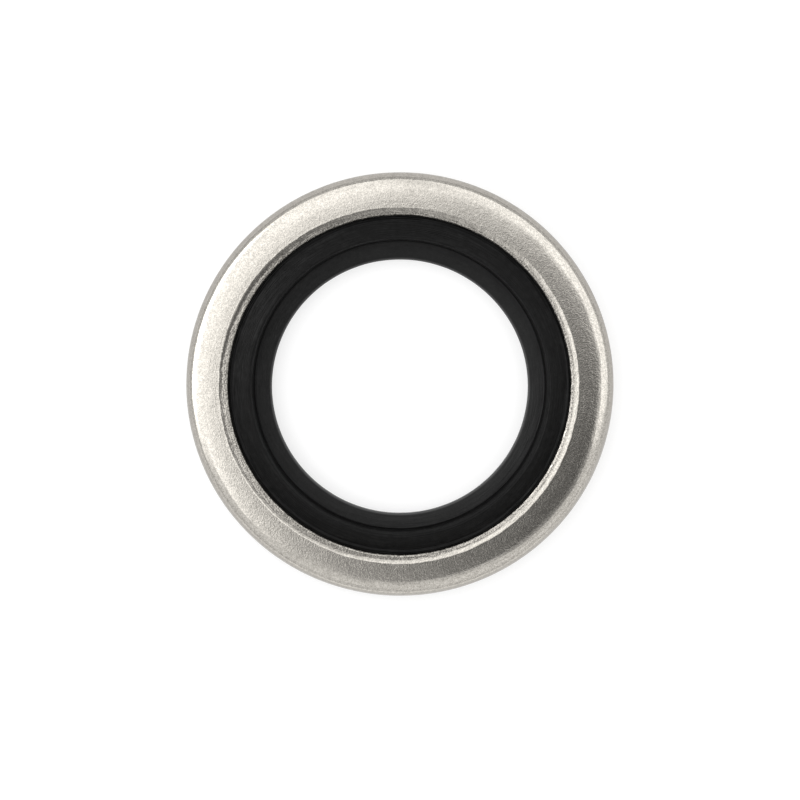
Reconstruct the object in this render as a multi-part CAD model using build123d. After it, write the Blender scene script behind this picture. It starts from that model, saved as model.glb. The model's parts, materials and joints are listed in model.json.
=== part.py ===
from build123d import *
import os

# Self-centring bonded sealing washer for an M16 thread, in millimetres.
# Both pieces are turned about Z and are alike above and below the mid-plane, Z = 0.
# Radial widths run outwards from the bore. Heights are measured from the mid-plane.

# Metal ring
ring_thickness = 1.5        # between its two flat faces
ring_width = 2.42           # radial, from its bore to its rim
rim_round_width = 0.82      # the rounded rim, measured across the face
rim_land = 0.14             # what stays straight halfway down the rounded rim
margin_width = 0.28         # the faint coined bevel inside the flat face
margin_drop = 0.038         # of the bevel's inner end below the face
shelf_width = 0.14          # the narrow level shelf inside the bevel
ring_edge_width = 0.10      # the worn edge from the shelf into the ring's bore
ring_edge_drop = 0.07

# Sealing lip, one on each side
lip_height = 0.25           # of its crest above the flat face
lip_inner_width = 0.31      # the steep flank from the centring lip up to the crest
lip_crest_width = 0.10      # its narrow flat top
lip_outer_width = 0.81      # the long flank from the crest down to the valley beside the bond
bond_width = 0.24           # from the valley out to the metal ring
bond_drop = 0.09            # from the ring's worn edge down to the rubber where the two meet
valley_drop = 0.05          # from there down to the valley

# Centring lip, moulded in one with the sealing lips
bore_dia = 14.36            # rests in the root of an M16 x 1.5 thread
bore_thickness = 0.36       # of the lip's edge
bore_bevel = 0.05
centring_width = 0.94       # from the bore out to the foot of the sealing lips
centring_root_thickness = 0.52

# Heights above the mid-plane
face_z = ring_thickness / 2
shelf_z = face_z - margin_drop
ring_edge_z = shelf_z - ring_edge_drop
crest_z = face_z + lip_height
bond_z = ring_edge_z - bond_drop
valley_z = bond_z - valley_drop
root_z = centring_root_thickness / 2
edge_z = bore_thickness / 2

# Radii, outwards from the bore
bore_r = bore_dia / 2
root_r = bore_r + centring_width
crest_inner_r = root_r + lip_inner_width
crest_outer_r = crest_inner_r + lip_crest_width
valley_r = crest_outer_r + lip_outer_width
ring_bore_r = valley_r + bond_width
shelf_inner_r = ring_bore_r + ring_edge_width
shelf_outer_r = shelf_inner_r + shelf_width
face_r = shelf_outer_r + margin_width
rim_r = ring_bore_r + ring_width
rim_start_r = rim_r - rim_round_width


def turn(*upper_half):
    # The upper half of a section, with X as radius and Y as height. It is closed by its own
    # reflection below the mid-plane, stood up on Z and turned into a ring.
    upper = Curve() + list(upper_half)
    section = make_face(upper + mirror(upper, Plane.XZ))
    return revolve(Plane.XZ * section, Axis.Z)


def metal_ring():
    # Flat ring with a bevelled margin and a shelf round its bore, and a rim rounded on each side of its land.
    face = Polyline(
        (ring_bore_r, 0),
        (ring_bore_r, ring_edge_z),
        (shelf_inner_r, shelf_z),
        (shelf_outer_r, shelf_z),
        (face_r, face_z),
        (rim_start_r, face_z),
    )
    rim = TangentArc(face @ 1, (rim_r, rim_land / 2), tangent=(1, 0))
    land = Line(rim @ 1, (rim_r, 0))
    return turn(face, rim, land)


def rubber_seal():
    # One moulding: thin centring lip, sealing lip with a steep inner flank, and the valley beside the bond.
    centring_lip = Polyline(
        (bore_r, 0),
        (bore_r, edge_z - bore_bevel),
        (bore_r + bore_bevel, edge_z),
        (root_r, root_z),
    )
    sealing_lip = Polyline(
        centring_lip @ 1,
        (crest_inner_r, crest_z),
        (crest_outer_r, crest_z),
        (valley_r, valley_z),
        (ring_bore_r, bond_z),
        (ring_bore_r, 0),
    )
    return turn(centring_lip, sealing_lip)


os.makedirs("parts", exist_ok=True)
export_step(metal_ring(), "parts/metal_ring.step")
export_step(rubber_seal(), "parts/rubber_seal.step")
print("outside diameter", round(2 * rim_r, 3), "overall thickness", round(2 * crest_z, 3))
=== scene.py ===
import json
import math

import bpy
import numpy as np
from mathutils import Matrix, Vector


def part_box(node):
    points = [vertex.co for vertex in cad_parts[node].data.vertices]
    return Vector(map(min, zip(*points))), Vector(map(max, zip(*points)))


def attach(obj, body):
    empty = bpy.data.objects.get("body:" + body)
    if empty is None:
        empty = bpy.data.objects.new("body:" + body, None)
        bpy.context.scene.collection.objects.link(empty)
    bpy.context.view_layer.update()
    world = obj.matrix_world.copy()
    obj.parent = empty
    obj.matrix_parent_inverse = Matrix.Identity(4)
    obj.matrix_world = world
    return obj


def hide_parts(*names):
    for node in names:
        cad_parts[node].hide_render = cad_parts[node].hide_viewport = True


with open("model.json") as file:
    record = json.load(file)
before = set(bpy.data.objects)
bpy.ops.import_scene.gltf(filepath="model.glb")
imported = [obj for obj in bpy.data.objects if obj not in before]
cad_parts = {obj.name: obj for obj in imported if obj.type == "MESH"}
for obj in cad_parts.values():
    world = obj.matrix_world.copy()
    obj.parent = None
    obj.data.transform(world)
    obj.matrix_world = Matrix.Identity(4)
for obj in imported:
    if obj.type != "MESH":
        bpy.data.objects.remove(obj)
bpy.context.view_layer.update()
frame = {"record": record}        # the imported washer: metal_ring and rubber_seal, on one body
mm = 0.001               # the shapes below are in millimetres
turns = 512              # steps round each ring
longestStep = 0.075      # from point to point along a ring's section
arcSteps = 6             # points on each rounded corner of a section

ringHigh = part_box("metal_ring")[1]
sealLow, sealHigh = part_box("rubber_seal")
mounts = {mount["name"]: mount for mount in frame["record"]["mounts"]}
boreRadius = mounts["centring_bore"]["dims"]["r_mm"]   # 7.18
bondRadius = sealHigh.x / mm                           # 9.58, where the rubber is bonded to the metal
rimRadius = ringHigh.x / mm                            # 12.0
faceHeight = ringHigh.z / mm                           # 0.75, half the metal's thickness
crestHeight = sealHigh.z / mm                          # 1.0, of the sealing lip above the same middle
print("frame loaded")


def roundedSection(corners, radii):
    # A section of straight runs whose corners are rounded to arcs. Each arc is tangent to its two runs:
    # it starts radius * tan(turn / 2) before the corner, and its points are that start, turned about the
    # arc's centre by even shares of the turn. Long runs are then divided so that no step is too long.
    corners, radii = np.array(corners, float), np.array(radii, float)[1:-1, None]
    before, after = corners[1:-1] - corners[:-2], corners[2:] - corners[1:-1]
    before /= np.linalg.norm(before, axis=1)[:, None]
    after /= np.linalg.norm(after, axis=1)[:, None]
    turn = np.arctan2(before[:, 0] * after[:, 1] - before[:, 1] * after[:, 0], (before * after).sum(1))
    cut = radii * np.tan(np.abs(turn) / 2)[:, None]
    start = corners[1:-1] - before * cut
    side = np.sign(turn)[:, None] * np.stack([-before[:, 1], before[:, 0]], 1)
    centre = start + side * radii
    share = turn[:, None] * np.linspace(0, 1, arcSteps)[None]
    spoke = (start - centre)[:, None]
    cos, sin = np.cos(share)[..., None], np.sin(share)[..., None]
    across = np.stack([-spoke[..., 1], spoke[..., 0]], -1)
    arcs = centre[:, None] + spoke * cos + across * sin
    path = np.concatenate([corners[:1], arcs.reshape(-1, 2), corners[-1:]])
    runs = np.diff(path, axis=0)
    steps = np.maximum(1, np.ceil(np.linalg.norm(runs, axis=1) / longestStep)).astype(int)
    first = np.repeat(np.arange(len(runs)), steps)
    place = np.arange(steps.sum()) - np.repeat(np.cumsum(steps) - steps, steps)
    points = path[first] + runs[first] * (place / steps[first])[:, None]
    return np.concatenate([points, path[-1:]])


def ringWaves(angle, along, size, count, seed, longest=9, drifting=6):
    # Unevenness round a ring: the sum, over each whole number k up to count, of strength * cos(k * angle
    # + phase + drift * along), all three random. The strength is divided by sqrt(1 + (k / longest)^2), the
    # drift is multiplied by 1 + k / drifting, and the sum is scaled so that its root mean square is size.
    rng = np.random.default_rng(seed)
    k = np.arange(1, count + 1)
    strength = rng.normal(size=count) / np.sqrt(1 + (k / longest) ** 2)
    phase = rng.uniform(0, 2 * np.pi, count)
    drift = rng.normal(size=count) * (1 + k / drifting)
    total = np.zeros((len(along), len(angle)))
    for i in range(count):
        total += strength[i] * np.cos(k[i] * angle[None] + phase[i] + drift[i] * along[:, None])
    return total * size / np.sqrt((strength ** 2).sum() / 2)


def fade(value, start, end):
    # 0 before start, 1 after end, and a smooth rise 3t^2 - 2t^3 in between.
    t = np.clip((value - start) / (end - start), 0, 1)
    return t * t * (3 - 2 * t)


def fadeFrom(radius, line, reach):
    # The same between two distances outwards from a line. It falls outwards if the first is the greater.
    return fade(radius, line + reach[0], line + reach[1])


def surfaceWaves(angle, length, shape, fineShare=1):
    # Slow waves plus a share of fine ones, without their sign and turned inwards: nothing stands proud.
    slow = ringWaves(angle, length, **shape["slowWaves"])
    fine = ringWaves(angle, length * shape["fineStretch"], **shape["fineWaves"])
    return -np.abs(slow + fine * fineShare)


def wanderingLine(angle, section, middle, line):
    # Sideways wandering of a line round the ring. It is whole up to the first reach from the radius
    # called middle, and there is none past the second.
    near = 1 - fade(np.abs(section[:, 0] - middle), *line["reach"])
    return ringWaves(angle, np.zeros(len(section)), **line["waves"]) * near[:, None]


def toOneSide(radius, angle, circles):
    # How far a ring of this radius is moved, because the moulding and the coining aren't quite in line
    # with the stamping: a shift toward one side is shift * cos(angle - side), and an oval one, with two
    # lobes, is shift * cos(2 * (angle - side)). It grows and fades at distances outwards from a line.
    total = 0
    for circle in circles:
        line = circle["line"]
        near = fadeFrom(radius, line, circle["grows"]) * (1 - fadeFrom(radius, line, circle["fades"]))
        around = np.cos(circle["lobes"] * (angle - math.radians(circle["side"])))
        total = total + near[:, None] * circle["shift"] * around[None]
    return total


shiftedOutwards = (
    # the bore's edge, the sealing lip's foot, the bond, and the metal's bevel, which is oval too
    dict(shift=0.080, lobes=1, side=-90, line=boreRadius, grows=(-0.20, -0.10), fades=(0.07, 0.77)),
    dict(shift=0.030, lobes=1, side=105, line=boreRadius, grows=(0.77, 0.92), fades=(0.98, 1.14)),
    dict(shift=0.054, lobes=1, side=112, line=bondRadius, grows=(-0.78, -0.18), fades=(0.47, 0.82)),
    dict(shift=0.105, lobes=1, side=207, line=bondRadius, grows=(0.10, 0.26), fades=(0.40, 0.67)),
    dict(shift=0.045, lobes=2, side=18, line=bondRadius, grows=(0.10, 0.26), fades=(0.40, 0.67)),
)
shiftedUpwards = (
    # the inner end of the metal's shelf
    dict(shift=0.010, lobes=1, side=208, line=bondRadius, grows=(0.01, 0.08), fades=(0.12, 0.30)),
    dict(shift=0.006, lobes=2, side=220, line=bondRadius, grows=(0.01, 0.08), fades=(0.12, 0.30)),
)


def turnedRing(name, upperHalf, uneven, wander):
    # The section (radius, height) goes round the ring: x = radius cos(angle), y = radius sin(angle).
    # The upper half, from the bore's middle to the rim's, is followed by its own reflection backwards,
    # so the ring is closed. Each point is moved along the section's normal by the unevenness, outwards by
    # the wandering of the lines where one surface meets the next, and by what is out of line as a whole.
    lower = upperHalf[-2:0:-1] * [1, -1]
    section = np.concatenate([upperHalf, lower])
    ahead, behind = np.roll(section, -1, 0), np.roll(section, 1, 0)
    tangent = ahead - behind
    tangent /= np.linalg.norm(tangent, axis=1)[:, None]
    outward = np.stack([-tangent[:, 1], tangent[:, 0]], 1)
    length = np.concatenate([[0], np.cumsum(np.linalg.norm(np.diff(section, axis=0), axis=1))])
    angle = np.arange(turns) * 2 * np.pi / turns
    lift = uneven(angle, length, section)
    shift = toOneSide(section[:, 0], angle, shiftedOutwards) + wander(angle, section)
    climb = toOneSide(section[:, 0], angle, shiftedUpwards) * np.sign(section[:, 1:])
    radius = section[:, :1] + outward[:, :1] * lift + shift
    height = section[:, 1:] + outward[:, 1:] * lift + climb
    x, y = radius * np.cos(angle), radius * np.sin(angle)
    points = np.stack([x, y, height], -1).reshape(-1, 3) * mm

    rows, columns = np.meshgrid(np.arange(len(section)), np.arange(turns), indexing="ij")
    nextRow, nextColumn = (rows + 1) % len(section), (columns + 1) % turns
    corner = [rows * turns + columns, rows * turns + nextColumn,
              nextRow * turns + nextColumn, nextRow * turns + columns]
    faces = np.stack(corner, -1).reshape(-1, 4)
    mesh = bpy.data.meshes.new(name)
    mesh.vertices.add(len(points))
    mesh.vertices.foreach_set("co", points.astype(np.float32).ravel())
    mesh.loops.add(faces.size)
    mesh.loops.foreach_set("vertex_index", faces.astype(np.int32).ravel())
    mesh.polygons.add(len(faces))
    mesh.polygons.foreach_set("loop_start", np.arange(0, faces.size, 4, dtype=np.int32))
    mesh.polygons.foreach_set("use_smooth", np.ones(len(faces), bool))
    mesh.update(calc_edges=True)
    mesh.validate()
    piece = bpy.data.objects.new(name, mesh)
    bpy.context.scene.collection.objects.link(piece)
    return piece, section[:, 0]


def keepShare(piece, name, values):
    # One number for each point of the section, the same all round, kept on the mesh for its material.
    attribute = piece.data.attributes.new(name, "FLOAT", "POINT")
    attribute.data.foreach_set("value", np.repeat(values, turns).astype(np.float32))


metalShape = dict(
    bondDrop=0.25,                   # from the face down to where the bond ends
    edgeFoot=(0.035, 0.11),          # the worn edge's foot: how far out from the bond, and below the face
    edgeWide=0.11,                   # from the bond out to the shelf
    shelfWide=0.22,                  # the shelf, almost level, to where its line meets the bevel's
    shelfDrop=0.009,                 # of the shelf's inner end below its outer one
    bevelWide=0.19,                  # the faint bevel up to the face
    bevelDrop=0.037,                 # of the bevel's inner end below the face
    crown=((1.65, 3.0), (0.98, 10.0)),   # how far in from the rim the face turns, and to how many degrees
    rimRound=0.70,                   # how far in from the rim the crown meets the rim's arc
    rimLand=0.14,                    # straight stretch halfway down the rim
    rounding=dict(bond=0.01, foot=0.05, shelf=0.06, hollow=1.2, face=0.20, land=0.01),
    arcShare=0.99,                   # of the full arcs, so that a trace of each run between them is left
    faceShare=0.15,                  # how much of the fine unevenness the face and the rim have
    slowWaves=dict(size=0.0015, count=24, seed=11),
    fineWaves=dict(size=0.0012, count=120, seed=12),
    fineStretch=6,                   # how much faster the fine waves change along the section
    rimLine=dict(reach=(0.04, 0.26), waves=dict(size=0.026, count=34, seed=13)),
    bevelLine=dict(reach=(0.08, 0.18), waves=dict(size=0.009, count=170, seed=14, longest=70)),
    # Each of these begins at the first distance outwards from a line, and is whole at the second.
    bareFrom=(0.005, 0.06),          # from the bond, the unevenness
    coinedFrom=(0.05, -0.10),        # from the face's inner edge, all of the fine unevenness
    ledgeFrom=(0.04, -0.03),         # from the bevel's inner end, the finish of the ledge
    bevelFrom=(0.02, -0.05),         # from the bevel's two ends, its finish
    flankFrom=(-0.30, -0.16),        # from the rim, the painted shade on its sheared flank
    # How strong the grain is so far out from the bond: the worn ledge, the smooth bevel, the face, and the
    # rim, which is worn smooth.
    grain=((0.02, 1.6), (0.26, 1.5), (0.34, 0.7), (0.50, 0.7), (0.60, 1.0), (1.47, 1.0), (1.70, 0.5),
           (2.12, 0.30)),
)


def crownCorners(shape):
    # The face's lean grows in steps. The corner between two leans is where the tangents from the ends of
    # the arc between them meet, and that arc's radius is toCorner / tan(turn / 2).
    height, lean, corners = faceHeight, 0.0, []
    ends = [inset for inset, degrees in shape["crown"][1:]] + [shape["rimRound"]]
    for (inset, degrees), end in zip(shape["crown"], ends):
        after = math.radians(degrees)
        toCorner = (inset - end) / (math.cos(lean) + math.cos(after))
        corner = (rimRadius - inset + toCorner * math.cos(lean), height - toCorner * math.sin(lean))
        corners.append((corner, toCorner / math.tan((after - lean) / 2) * shape["arcShare"]))
        height, lean = corner[1] - toCorner * math.sin(after), after
    return corners, height, lean


def rimCorner(shape, height, lean):
    # The rim is one arc from the crown's end down to the land, so it turns by twice the angle between
    # the crown's lean and its own chord.
    wide, deep = shape["rimRound"], height - shape["rimLand"] / 2
    turn = 2 * (math.atan2(deep, wide) - lean)
    toCorner = math.hypot(wide, deep) / 2 / math.cos(turn / 2)
    corner = (rimRadius - wide + toCorner * math.cos(lean), height - toCorner * math.sin(lean))
    return corner, toCorner / math.tan(turn / 2) * shape["arcShare"]


def metalRing():
    # A flat ring. From the bond its section has a worn edge, the shelf, the bevel, the face with its
    # crown, the rim's arc and the land. Each corner is (radius, height) and the radius of its rounding.
    shape = metalShape
    rounding = shape["rounding"]
    footOut, footDrop = shape["edgeFoot"]
    shelfHeight = faceHeight - shape["bevelDrop"]
    shelfInner = bondRadius + shape["edgeWide"]
    bevelInner = shelfInner + shape["shelfWide"]
    faceInner = bevelInner + shape["bevelWide"]
    bevelMiddle = (bevelInner + faceInner) / 2
    crown, height, lean = crownCorners(shape)
    corners = [
        ((bondRadius, 0), 0),
        ((bondRadius, faceHeight - shape["bondDrop"]), rounding["bond"]),
        ((bondRadius + footOut, faceHeight - footDrop), rounding["foot"]),
        ((shelfInner, shelfHeight - shape["shelfDrop"]), rounding["shelf"]),
        ((bevelInner, shelfHeight), rounding["hollow"]),
        ((faceInner, faceHeight), rounding["face"]),
        *crown,
        rimCorner(shape, height, lean),
        ((rimRadius, shape["rimLand"] / 2), rounding["land"]),
        ((rimRadius, 0), 0),
    ]
    upperHalf = roundedSection(*zip(*corners))

    def uneven(angle, length, section):
        radius = section[:, 0]
        coined = fadeFrom(radius, faceInner, shape["coinedFrom"])
        fineShare = shape["faceShare"] + (1 - shape["faceShare"]) * coined
        waves = surfaceWaves(angle, length, shape, fineShare[:, None])
        return waves * fadeFrom(radius, bondRadius, shape["bareFrom"])[:, None]

    def wander(angle, section):
        return (wanderingLine(angle, section, rimRadius - shape["rimRound"], shape["rimLine"])
                + wanderingLine(angle, section, bevelMiddle, shape["bevelLine"]))

    piece, radius = turnedRing("metalRing", upperHalf, uneven, wander)
    keepShare(piece, "grainShare", np.interp(radius - bondRadius, *zip(*shape["grain"])))
    pastBevel = np.abs(radius - bevelMiddle) - shape["bevelWide"] / 2
    keepShare(piece, "bevelShare", fade(pastBevel, *shape["bevelFrom"]))
    # where the rim's flank gets its painted shade
    keepShare(piece, "flankShare", fadeFrom(radius, rimRadius, shape["flankFrom"]))
    keepShare(piece, "ledgeShare", fadeFrom(radius, bevelInner, shape["ledgeFrom"]))
    return piece


sealShape = dict(
    edgeHeight=0.16,                 # half the centring lip's thickness at the bore
    root=(0.95, 0.24),               # its other end: how far out from the bore, and half its thickness
    flank=((1.07, 0.32), (1.19, 0.09)),   # the inner flank bulges: out from the bore, and below the crest
    crestOut=1.29,                   # from the bore
    valley=(0.23, 0.265),            # how far in from the bond, and below the metal's face
    rise=(0.105, 0.19),              # a fine raised line beside the bond, in the same way,
    crevice=(0.035, 0.31),           # and the crevice at the bond
    rounding=dict(edge=0.08, root=0.03, steep=0.15, shallow=0.12, crest=0.08, valley=0.06, rise=0.03,
                  crevice=0.03, bond=0.01),
    slowWaves=dict(size=0.002, count=20, seed=21),
    fineWaves=dict(size=0.0007, count=90, seed=22),
    fineStretch=5,
    riseLine=dict(reach=(0.02, 0.09), waves=dict(size=0.010, count=40, seed=23)),
    # Each of these begins at the first distance outwards from a line, and is whole at the second.
    bareFrom=(-0.005, -0.06),        # from the bond, the unevenness
    edgeFrom=(0.14, 0.04),           # from the bore, its greyed edge
    lipFrom=(0.24, 0.38),            # from the root, the sealing lip's finish
    wallFrom=(-0.05, 0.0),           # from the root, the finish of the foot of the inner flank,
    wallTo=(0.22, 0.10),             # and the same from its outer side
    sheen=((0.27, 1.0), (0.52, 0.9), (0.90, 0.6), (0.95, 0.0)),   # the centring lip's coat, so far from the bore; its fall towards the root is painted shade
)


def rubberSeal():
    # One moulding. From the bore its section has the centring lip, the sealing lip's steep flank, crest
    # and long flank, the valley, the raised line and the crevice at the bond.
    shape = sealShape
    rounding = shape["rounding"]
    rootOut, rootHeight = shape["root"]
    rootRadius = boreRadius + rootOut
    riseRadius = bondRadius - shape["rise"][0]

    def onFlank(place):
        return boreRadius + place[0], crestHeight - place[1]

    def besideBond(place):
        return bondRadius - place[0], faceHeight - place[1]

    steep, shallow = shape["flank"]
    corners = [
        ((boreRadius, 0), 0),
        ((boreRadius, shape["edgeHeight"]), rounding["edge"]),
        ((rootRadius, rootHeight), rounding["root"]),
        (onFlank(steep), rounding["steep"]),
        (onFlank(shallow), rounding["shallow"]),
        ((boreRadius + shape["crestOut"], crestHeight), rounding["crest"]),
        (besideBond(shape["valley"]), rounding["valley"]),
        (besideBond(shape["rise"]), rounding["rise"]),
        (besideBond(shape["crevice"]), rounding["crevice"]),
        ((bondRadius, faceHeight - metalShape["bondDrop"]), rounding["bond"]),
        ((bondRadius, 0), 0),
    ]
    upperHalf = roundedSection(*zip(*corners))

    def uneven(angle, length, section):
        bare = fadeFrom(section[:, 0], bondRadius, shape["bareFrom"])
        return surfaceWaves(angle, length, shape) * bare[:, None]

    def wander(angle, section):
        return wanderingLine(angle, section, riseRadius, shape["riseLine"])

    piece, radius = turnedRing("rubberSeal", upperHalf, uneven, wander)
    keepShare(piece, "edgeShare", fadeFrom(radius, boreRadius, shape["edgeFrom"]))
    keepShare(piece, "lipShare", fadeFrom(radius, rootRadius, shape["lipFrom"]))
    # the coat's share, lower towards the root as painted shade in the crease
    keepShare(piece, "sheenShare", np.interp(radius - boreRadius, *zip(*shape["sheen"])))
    wall = fadeFrom(radius, rootRadius, shape["wallFrom"]) * fadeFrom(radius, rootRadius, shape["wallTo"])
    keepShare(piece, "wallShare", wall)
    return piece


metalPiece = metalRing()
rubberPiece = rubberSeal()
for piece, node, slotName in ((metalPiece, "metal_ring", "steel"), (rubberPiece, "rubber_seal", "rubber")):
    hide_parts(node)
    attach(piece, "root")
    print(piece.name, len(piece.data.polygons) * 2, "triangles")


def addNode(tree, kind, inputs=(), **settings):
    # A node with its settings, and its inputs as (name or number, value or socket).
    node = tree.nodes.new(kind)
    for name, value in settings.items():
        setattr(node, name, value)
    for key, value in inputs:
        if isinstance(value, bpy.types.NodeSocket):
            tree.links.new(value, node.inputs[key])
        else:
            node.inputs[key].default_value = value
    return node


def compute(tree, operation, *values):
    # The result of one operation on the values, each a number or a socket.
    return addNode(tree, "ShaderNodeMath", list(enumerate(values)), operation=operation).outputs[0]


def lengthOf(tree, vector):
    return addNode(tree, "ShaderNodeVectorMath", [(0, vector)], operation="LENGTH").outputs["Value"]


def sumOf(tree, products):
    # The sum of first * second over the pairs.
    total = 0.0
    for first, second in products:
        total = compute(tree, "MULTIPLY_ADD", first, second, total)
    return total


def mapRange(tree, value, fromRange, toRange, kind="LINEAR"):
    # The value carried over from one range to the other, evenly or smoothly, and kept within the other.
    return addNode(tree, "ShaderNodeMapRange",
                   [("Value", value), ("From Min", fromRange[0]), ("From Max", fromRange[1]),
                    ("To Min", toRange[0]), ("To Max", toRange[1])], interpolation_type=kind).outputs[0]


def effectGroup(name, inputs, outputs):
    group = bpy.data.node_groups.new(name, "ShaderNodeTree")
    for socketName, kind, value in inputs:
        socket = group.interface.new_socket(socketName, in_out="INPUT", socket_type=kind)
        if value is not None:
            socket.default_value = value
    for socketName, kind in outputs:
        group.interface.new_socket(socketName, in_out="OUTPUT", socket_type=kind)
    return group, group.nodes.new("NodeGroupInput").outputs, group.nodes.new("NodeGroupOutput").inputs


noiseMiddle = 0.5                    # the mean of Blender's noise
grainNoise = dict(detail=1.0, roughness=0.5)
linesNoise = dict(detail=2.0, roughness=0.55)


def noiseAt(tree, place, scale, noise):
    inputs = [("Vector", place), ("Scale", scale), ("Detail", noise["detail"]),
              ("Roughness", noise["roughness"])]
    return addNode(tree, "ShaderNodeTexNoise", inputs).outputs["Fac"]


def stretched(tree, value, contrast):
    # (value - middle) * contrast + middle, kept between 0 and 1.
    centred = compute(tree, "SUBTRACT", value, noiseMiddle)
    return addNode(tree, "ShaderNodeMath", [(0, centred), (1, contrast), (2, noiseMiddle)],
                   operation="MULTIPLY_ADD", use_clamp=True).outputs[0]


def makeGrainGroup():
    # Fine grain of a given size: noise, and the same with its contrast stretched about its middle.
    group, given, out = effectGroup(
        "fineGrain",
        [("Vector", "NodeSocketVector", None), ("Size", "NodeSocketFloat", 0.0001),
         ("Contrast", "NodeSocketFloat", 2.5)],
        [("Height", "NodeSocketFloat"), ("Mask", "NodeSocketFloat")])
    scale = compute(group, "DIVIDE", 1.0, given["Size"])
    noise = noiseAt(group, given["Vector"], scale, grainNoise)
    group.links.new(noise, out["Height"])
    group.links.new(stretched(group, noise, given["Contrast"]), out["Mask"])
    return group


def makeLinesGroup():
    # Fine lines round the axis: noise read at (cos, sin) of the angle times Along, and (radius - height)
    # over Width.
    group, given, out = effectGroup(
        "turnedLines",
        [("Vector", "NodeSocketVector", None), ("Width", "NodeSocketFloat", 0.00005),
         ("Along", "NodeSocketFloat", 8.0), ("Contrast", "NodeSocketFloat", 2.0)],
        [("Mask", "NodeSocketFloat")])
    parts = addNode(group, "ShaderNodeSeparateXYZ", [("Vector", given["Vector"])]).outputs
    flat = addNode(group, "ShaderNodeCombineXYZ", [("X", parts["X"]), ("Y", parts["Y"])])
    radius = lengthOf(group, flat.outputs[0])
    aroundX = compute(group, "MULTIPLY", compute(group, "DIVIDE", parts["X"], radius), given["Along"])
    aroundY = compute(group, "MULTIPLY", compute(group, "DIVIDE", parts["Y"], radius), given["Along"])
    across = compute(group, "DIVIDE", compute(group, "SUBTRACT", radius, parts["Z"]), given["Width"])
    place = addNode(group, "ShaderNodeCombineXYZ", [("X", aroundX), ("Y", aroundY), ("Z", across)])
    noise = noiseAt(group, place.outputs[0], 1.0, linesNoise)
    group.links.new(stretched(group, noise, given["Contrast"]), out["Mask"])
    return group


fineGrain = makeGrainGroup()
turnedLines = makeLinesGroup()


def grainOn(tree, place, effect):
    inputs = [("Vector", place), ("Size", effect["size"]), ("Contrast", effect["contrast"])]
    return addNode(tree, "ShaderNodeGroup", inputs, node_tree=fineGrain).outputs


def linesOn(tree, place, effect):
    inputs = [("Vector", place), ("Width", effect["width"]), ("Along", effect["along"]),
              ("Contrast", effect["contrast"])]
    return addNode(tree, "ShaderNodeGroup", inputs, node_tree=turnedLines).outputs


def sharesOf(tree, *names):
    return [addNode(tree, "ShaderNodeAttribute", attribute_name=name).outputs["Fac"] for name in names]


def blendColour(tree, share, first, second):
    # A colour is (red, green, blue), one grey, or comes from another node. Inputs 6 and 7 and output 2
    # are the ones that a Mix node keeps for colours.
    colours = []
    for colour in (first, second):
        if isinstance(colour, float):
            colour = (colour, colour, colour)
        colours.append((*colour, 1) if isinstance(colour, tuple) else colour)
    inputs = [(0, share), (6, colours[0]), (7, colours[1])]
    return addNode(tree, "ShaderNodeMix", inputs, data_type="RGBA").outputs[2]


def bumped(tree, products):
    # The bump of a height in metres, which is the sum of relief * depth.
    inputs = [("Height", sumOf(tree, products)), ("Distance", 1.0)]
    return addNode(tree, "ShaderNodeBump", inputs).outputs[0]


def newMaterial(name):
    material = bpy.data.materials.new(name)
    material.use_nodes = True
    tree = material.node_tree
    tree.nodes.clear()
    output = tree.nodes.new("ShaderNodeOutputMaterial")
    shader = tree.nodes.new("ShaderNodeBsdfPrincipled")
    tree.links.new(shader.outputs[0], output.inputs["Surface"])
    place = tree.nodes.new("ShaderNodeTexCoord").outputs["Object"]
    return material, tree, shader, place


steelFinish = dict(                  # sizes and depths in metres. A share is what that one adds to the wear
    bright=(0.82, 0.782, 0.715),
    dull=(0.43, 0.407, 0.370),
    flank=((0.30, 0.284, 0.260), (0.47, 0.445, 0.408)),      # dull and bright, darker than the steel: painted shade on the rim's sheared flank, for the floor's shadow that it mirrors
    ledge=(0.26, 0.247, 0.225),      # dirt in the grain of the ledge
    bevelWear=0.30,                  # how bright the bevel is at least, from dull to bright
    grain=dict(size=0.00015, contrast=3.0, share=0.24, depth=0.0000030),
    fine=dict(size=0.000068, contrast=3.6, share=0.46, depth=0.0000064),
    mottle=dict(size=0.00030, contrast=2.5, share=0.15, depth=0.0000016),   # soft blotches
    streaks=dict(width=0.00016, along=5.0, contrast=2.0, share=0.15, depth=0.0000015),
    lines=dict(width=0.00009, along=16.0, contrast=2.0),                    # from coining the ledge
    ledgeDepth=0.0000080,            # of those lines on the ledge
    bevelDepth=0.0000025,            # and on the bevel
    dents=dict(size=0.0011, contrast=2.5, depth=0.0000060),                 # a faint unevenness all over
    faceRoughness=0.15,
    ledgeRoughness=0.17,
)


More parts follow.
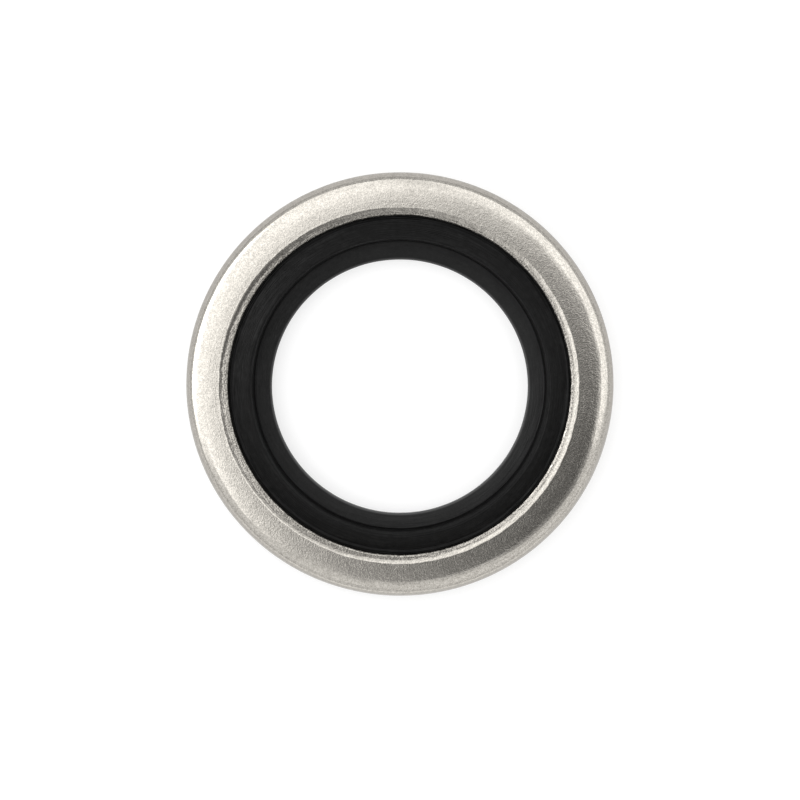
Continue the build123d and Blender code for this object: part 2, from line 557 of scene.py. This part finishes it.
def satinSteel():
    # Between dull and bright steel by how worn it is: the weighted sum of the grains and streaks, and on
    # the bevel at least bevelWear.
    # The ledge has a colour of its own, dirt in its grain, and the rim's flank is painted darker, as
    # painted shade for the shadowed floor that it mirrors.
    finish = steelFinish
    material, tree, shader, place = newMaterial("satinSteel")
    grain, fine = grainOn(tree, place, finish["grain"]), grainOn(tree, place, finish["fine"])
    mottle, dents = grainOn(tree, place, finish["mottle"]), grainOn(tree, place, finish["dents"])
    streaks, lines = linesOn(tree, place, finish["streaks"]), linesOn(tree, place, finish["lines"])
    depth, bevel, flank, ledge = sharesOf(tree, "grainShare", "bevelShare", "flankShare", "ledgeShare")

    parts = ((grain, "grain"), (fine, "fine"), (streaks, "streaks"), (mottle, "mottle"))
    mixed = sumOf(tree, [(effect["Mask"], finish[name]["share"]) for effect, name in parts])
    worn = compute(tree, "MAXIMUM", mixed, compute(tree, "MULTIPLY", bevel, finish["bevelWear"]))
    colour = blendColour(tree, worn, finish["dull"], finish["bright"])
    # Painted shade: the rim's sheared flank is darker, for the shadowed floor that it mirrors.
    colour = blendColour(tree, flank, colour, blendColour(tree, worn, *finish["flank"]))
    colour = blendColour(tree, compute(tree, "MULTIPLY", ledge, fine["Mask"]), colour, finish["ledge"])
    tree.links.new(colour, shader.inputs["Base Color"])
    shader.inputs["Metallic"].default_value = 1.0
    roughness = mapRange(tree, ledge, (0, 1), (finish["faceRoughness"], finish["ledgeRoughness"]))
    tree.links.new(roughness, shader.inputs["Roughness"])

    lineDepth = sumOf(tree, [(ledge, finish["ledgeDepth"]), (bevel, finish["bevelDepth"])])
    relief = [
        (grain["Height"], compute(tree, "MULTIPLY", depth, finish["grain"]["depth"])),
        (fine["Height"], compute(tree, "MULTIPLY", depth, finish["fine"]["depth"])),
        (mottle["Height"], finish["mottle"]["depth"]),
        (dents["Height"], finish["dents"]["depth"]),
        (streaks["Mask"], finish["streaks"]["depth"]),
        (lines["Mask"], lineDepth),
    ]
    tree.links.new(bumped(tree, relief), shader.inputs["Normal"])
    return material


rubberFinish = dict(                 # sizes and depths in metres
    inner=(0.0005, 0.0045),          # the centring lip, from dark to light
    lip=(0.0001, 0.0060),            # the sealing lip
    edge=0.06,                       # the thin edge round the bore, lighter than the rest of the rubber
    grain=dict(size=0.00009, contrast=2.5, depth=0.0000030),
    patches=dict(size=0.00030, contrast=2.5),
    scuffs=dict(width=0.00007, along=4.0, contrast=5.0, depth=0.0000120),
    roughness=0.38,
    wallRoughness=0.40,              # the foot of the sealing lip's inner flank
    specular=0.165,
    innerSheen=0.44,                 # the centring lip was moulded against a polished pin
    sheenRoughness=0.17,
)


def mouldedRubber():
    # Each lip is between its dark and light by a mask: grain * patches on the centring lip, and
    # scuffs * patches on the sealing lip.
    finish = rubberFinish
    material, tree, shader, place = newMaterial("mouldedRubber")
    grain, patches = grainOn(tree, place, finish["grain"]), grainOn(tree, place, finish["patches"])
    scuffs = linesOn(tree, place, finish["scuffs"])
    edge, lip, sheen, wall = sharesOf(tree, "edgeShare", "lipShare", "sheenShare", "wallShare")

    innerMask = compute(tree, "MULTIPLY", grain["Mask"], patches["Mask"])
    lipMask = compute(tree, "MULTIPLY", scuffs["Mask"], patches["Mask"])
    inner = blendColour(tree, innerMask, *finish["inner"])
    outer = blendColour(tree, lipMask, *finish["lip"])
    colour = blendColour(tree, edge, blendColour(tree, lip, inner, outer), finish["edge"])
    tree.links.new(colour, shader.inputs["Base Color"])
    roughness = mapRange(tree, wall, (0, 1), (finish["roughness"], finish["wallRoughness"]))
    tree.links.new(roughness, shader.inputs["Roughness"])
    shader.inputs["Specular IOR Level"].default_value = finish["specular"]
    # The coat is weaker towards the sealing lip's root: painted shade in the crease there.
    tree.links.new(compute(tree, "MULTIPLY", sheen, finish["innerSheen"]), shader.inputs["Coat Weight"])
    shader.inputs["Coat Roughness"].default_value = finish["sheenRoughness"]
    relief = [(grain["Height"], finish["grain"]["depth"]), (scuffs["Mask"], finish["scuffs"]["depth"])]
    tree.links.new(bumped(tree, relief), shader.inputs["Normal"])
    return material


metalPiece.data.materials.append(satinSteel())
rubberPiece.data.materials.append(mouldedRubber())
print("finishes made")


floorFinish = dict(
    size=3.0,                    # m across
    colour=0.44,
    glow=0.62,                   # what the camera and reflections see on top of the lit colour
    farGlow=1.0,                 # what the camera sees far from the washer, where the panel's light is weak
    farFrom=(0.04, 0.15),        # m from the middle, where the one becomes the other
)


def makeFloor():
    # It keeps the washer's shadow, and is clear from below, so that the washer's other face can be seen.
    finish = floorFinish
    half, level = finish["size"] / 2, sealLow.z
    mesh = bpy.data.meshes.new("floor")
    corners = [(-half, -half, level), (half, -half, level), (half, half, level), (-half, half, level)]
    mesh.from_pydata(corners, [], [(0, 1, 2, 3)])
    floor = bpy.data.objects.new("floor", mesh)
    bpy.context.scene.collection.objects.link(floor)
    material = bpy.data.materials.new("paleFloor")
    material.use_nodes = True
    tree = material.node_tree
    tree.nodes.clear()
    place = tree.nodes.new("ShaderNodeTexCoord").outputs["Object"]
    away = lengthOf(tree, place)
    cameraGlow = mapRange(tree, away, finish["farFrom"], (finish["glow"], finish["farGlow"]), "SMOOTHSTEP")
    rays = tree.nodes.new("ShaderNodeLightPath").outputs
    mirrored = compute(tree, "MAXIMUM", rays["Is Glossy Ray"], rays["Is Transmission Ray"])
    strength = compute(tree, "MAXIMUM", compute(tree, "MULTIPLY", rays["Is Camera Ray"], cameraGlow),
                       compute(tree, "MULTIPLY", mirrored, finish["glow"]))
    glow = addNode(tree, "ShaderNodeEmission", [("Color", (1, 1, 1, 1)), ("Strength", strength)])
    grey = finish["colour"]
    paint = addNode(tree, "ShaderNodeBsdfDiffuse", [("Color", (grey, grey, grey, 1))])
    both = addNode(tree, "ShaderNodeAddShader", [(0, glow.outputs[0]), (1, paint.outputs[0])])
    clear = tree.nodes.new("ShaderNodeBsdfTransparent")
    fromBelow = tree.nodes.new("ShaderNodeNewGeometry").outputs["Backfacing"]
    surface = addNode(tree, "ShaderNodeMixShader",
                      [(0, fromBelow), (1, both.outputs[0]), (2, clear.outputs[0])])
    addNode(tree, "ShaderNodeOutputMaterial", [("Surface", surface.outputs[0])])
    mesh.materials.append(material)


room = dict(
    level=0.66,                  # how bright the walls are
    top=18.0,                    # degrees above the horizon, where they end
    softness=1.0,                # degrees to each side of that, over which they darken
)


def makeWorld():
    # An even pale room up to the ceiling's edge. It is dark above that, because the ceiling's light is
    # added to whatever is behind it. The camera sees white wherever it looks past the floor.
    world = bpy.data.worlds.new("studioRoom")
    bpy.context.scene.world = world
    world.use_nodes = True
    tree = world.node_tree
    tree.nodes.clear()
    direction = tree.nodes.new("ShaderNodeTexCoord").outputs["Generated"]
    up = addNode(tree, "ShaderNodeSeparateXYZ", [(0, direction)]).outputs["Z"]
    edge = [math.sin(math.radians(room["top"] + side * room["softness"])) for side in (-1, 1)]
    share = mapRange(tree, up, edge, (room["level"], 0.0), "SMOOTHSTEP")
    seen = tree.nodes.new("ShaderNodeLightPath").outputs["Is Camera Ray"]
    strength = compute(tree, "MAXIMUM", share, seen)
    background = addNode(tree, "ShaderNodeBackground", [("Color", (1, 1, 1, 1)), ("Strength", strength)])
    addNode(tree, "ShaderNodeOutputWorld", [("Surface", background.outputs[0])])


ceiling = dict(
    # A round panel, in mm, and how bright it is in each place. What changes round a place (x, y) does so
    # from inner to outer mm away from it.
    centre=(14, -40, 100),
    across=620,
    upper=dict(x=0, y=-14, inner=50, outer=110, near=1.58, far=1.40),   # its brightness towards +Y
    lower=(0.86, 0.69),          # and towards -Y: far out, and near
    lowerFrom=(-100, -30),       # where, along Y, the far one becomes the near one
    change=(-24, -2),            # where, along Y, lower becomes upper
    changeSlopes=(1.0, 0.3),     # and how much lower that is for each mm to the left, and to the right,
    changeReach=35,              # but never more than this
    seam=dict(x=14, reach=34, drop=0.34),   # a duller seam along Y, and its reach to each side
    key=dict(x=-205, y=30, inner=60, outer=155, extra=1.7),   # the main light behind the panel
    gaps=(                       # the dark opening in it, and a duller patch beyond
        dict(x=19, y=-21, inner=10, outer=42, left=0.10),
        dict(x=44, y=-47, inner=0, outer=30, left=0.55),
    ),
    far=dict(x=10, y=0, inner=200, outer=340, left=0.5),   # how much is left of it far from here
)


def makeCeiling():
    # A round soft panel over the washer, whose brightness changes over it: a lower and an upper part, one
    # passing into the other, less the seam, plus the key, times what the gaps and the distance leave of
    # it. Its energy is pi * area, so that its shader's strength is how bright it looks.
    lamp = bpy.data.lights.new("ceiling", "AREA")
    lamp.shape = "DISK"
    lamp.size = ceiling["across"] * mm
    lamp.energy = math.pi * math.pi * lamp.size ** 2 / 4
    panel = bpy.data.objects.new("ceiling", lamp)
    bpy.context.scene.collection.objects.link(panel)
    panel.location = Vector(ceiling["centre"]) * mm
    panel.visible_camera = False
    lamp.use_nodes = True
    tree = lamp.node_tree
    tree.nodes.clear()
    onPanel = tree.nodes.new("ShaderNodeNewGeometry").outputs["Parametric"]
    share = addNode(tree, "ShaderNodeSeparateXYZ", [(0, onPanel)]).outputs

    def along(axis):
        # The place in mm, from the share of the panel's width.
        start = ceiling["centre"][axis] - ceiling["across"] / 2
        return compute(tree, "MULTIPLY_ADD", share[axis], ceiling["across"], start)

    x, y = along(0), along(1)

    def aroundSpot(spot, inside, outside, kind="SMOOTHSTEP"):
        # From one value inside the spot to another outside, by sqrt((x - its x)^2 + (y - its y)^2).
        acrossX, acrossY = compute(tree, "SUBTRACT", x, spot["x"]), compute(tree, "SUBTRACT", y, spot["y"])
        away = compute(tree, "SQRT", sumOf(tree, [(acrossX, acrossX), (acrossY, acrossY)]))
        return mapRange(tree, away, (spot["inner"], spot["outer"]), (inside, outside), kind)

    upper, seam, key, far = ceiling["upper"], ceiling["seam"], ceiling["key"], ceiling["far"]
    left, right = ceiling["changeSlopes"]
    toLeft, toRight = compute(tree, "MULTIPLY", x, -left), compute(tree, "MULTIPLY", x, right)
    aside = compute(tree, "MINIMUM", compute(tree, "MAXIMUM", toLeft, toRight), ceiling["changeReach"])
    upperShare = mapRange(tree, compute(tree, "ADD", y, aside), ceiling["change"], (0.0, 1.0), "SMOOTHSTEP")
    lowerGlow = mapRange(tree, y, ceiling["lowerFrom"], ceiling["lower"], "SMOOTHSTEP")
    offSeam = compute(tree, "ABSOLUTE", compute(tree, "SUBTRACT", x, seam["x"]))
    drop = mapRange(tree, offSeam, (0.0, seam["reach"]), (seam["drop"], 0.0), "SMOOTHSTEP")
    upperGlow = compute(tree, "SUBTRACT", aroundSpot(upper, upper["near"], upper["far"]), drop)
    rise = compute(tree, "SUBTRACT", upperGlow, lowerGlow)
    glow = compute(tree, "MULTIPLY_ADD", upperShare, rise, lowerGlow)
    glow = compute(tree, "ADD", glow, aroundSpot(key, key["extra"], 0.0))
    for gap in ceiling["gaps"]:
        glow = compute(tree, "MULTIPLY", glow, aroundSpot(gap, gap["left"], 1.0, "LINEAR"))
    glow = compute(tree, "MULTIPLY", glow, aroundSpot(far, 1.0, far["left"]))
    light = addNode(tree, "ShaderNodeEmission", [("Strength", glow)])
    addNode(tree, "ShaderNodeOutputLight", [("Surface", light.outputs[0])])


cameraView = dict(
    tilt=7.9,                    # degrees from straight above, towards +Y
    distance=300.0,              # mm, from the point that it aims at
    lens=240.3,
    aim=(0.006, -0.836),         # that point, in mm right of and above the washer's middle, as it is seen
)


def makeCamera():
    # It stands back from the point that it aims at, along (0, sin tilt, cos tilt).
    tilt = math.radians(cameraView["tilt"])
    camera = bpy.data.cameras.new("camera")
    camera.lens = cameraView["lens"]
    seen = bpy.data.objects.new("camera", camera)
    bpy.context.scene.collection.objects.link(seen)
    back = Vector((0, math.sin(tilt), math.cos(tilt)))
    up = Vector((0, math.cos(tilt), -math.sin(tilt)))
    aim = Vector((cameraView["aim"][0], 0, 0)) + up * cameraView["aim"][1]
    seen.location = (aim + back * cameraView["distance"]) * mm
    seen.rotation_euler = (-tilt, 0, 0)
    bpy.context.scene.camera = seen


makeFloor()
makeWorld()
makeCeiling()
makeCamera()
bpy.context.scene.view_settings.view_transform = "Standard"
print("studio made")
